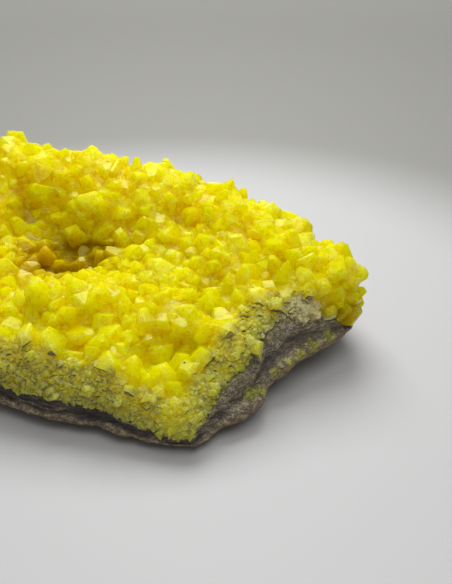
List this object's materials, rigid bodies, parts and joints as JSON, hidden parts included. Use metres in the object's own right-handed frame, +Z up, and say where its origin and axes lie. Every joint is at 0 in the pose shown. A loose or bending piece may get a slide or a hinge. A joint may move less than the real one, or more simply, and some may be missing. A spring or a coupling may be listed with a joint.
{
  "type": "mineral specimen",
  "caption": "Hand specimen of yellow native sulfur crystals grown as a thick crust on a broken, bedded slab of grey-brown matrix rock that rests flat.",
  "frame": {"origin": "middle of the specimen's plan, on the plane it rests on", "axes": "+Z up, out of the crystals; +X along the slab's length; -Y towards the low front edge, whose corner points forwards"},
  "size_m": [0.2298, 0.172, 0.0885],
  "materials": {
    "matrix_stone": "rough broken rock, dull",
    "sulfur": "translucent resinous crystal, glossy faces"
  },
  "bodies": {
    "root": {"matrix_rock": "matrix_stone", "sulfur_crystals": "sulfur"}
  },
  "joints": []
}
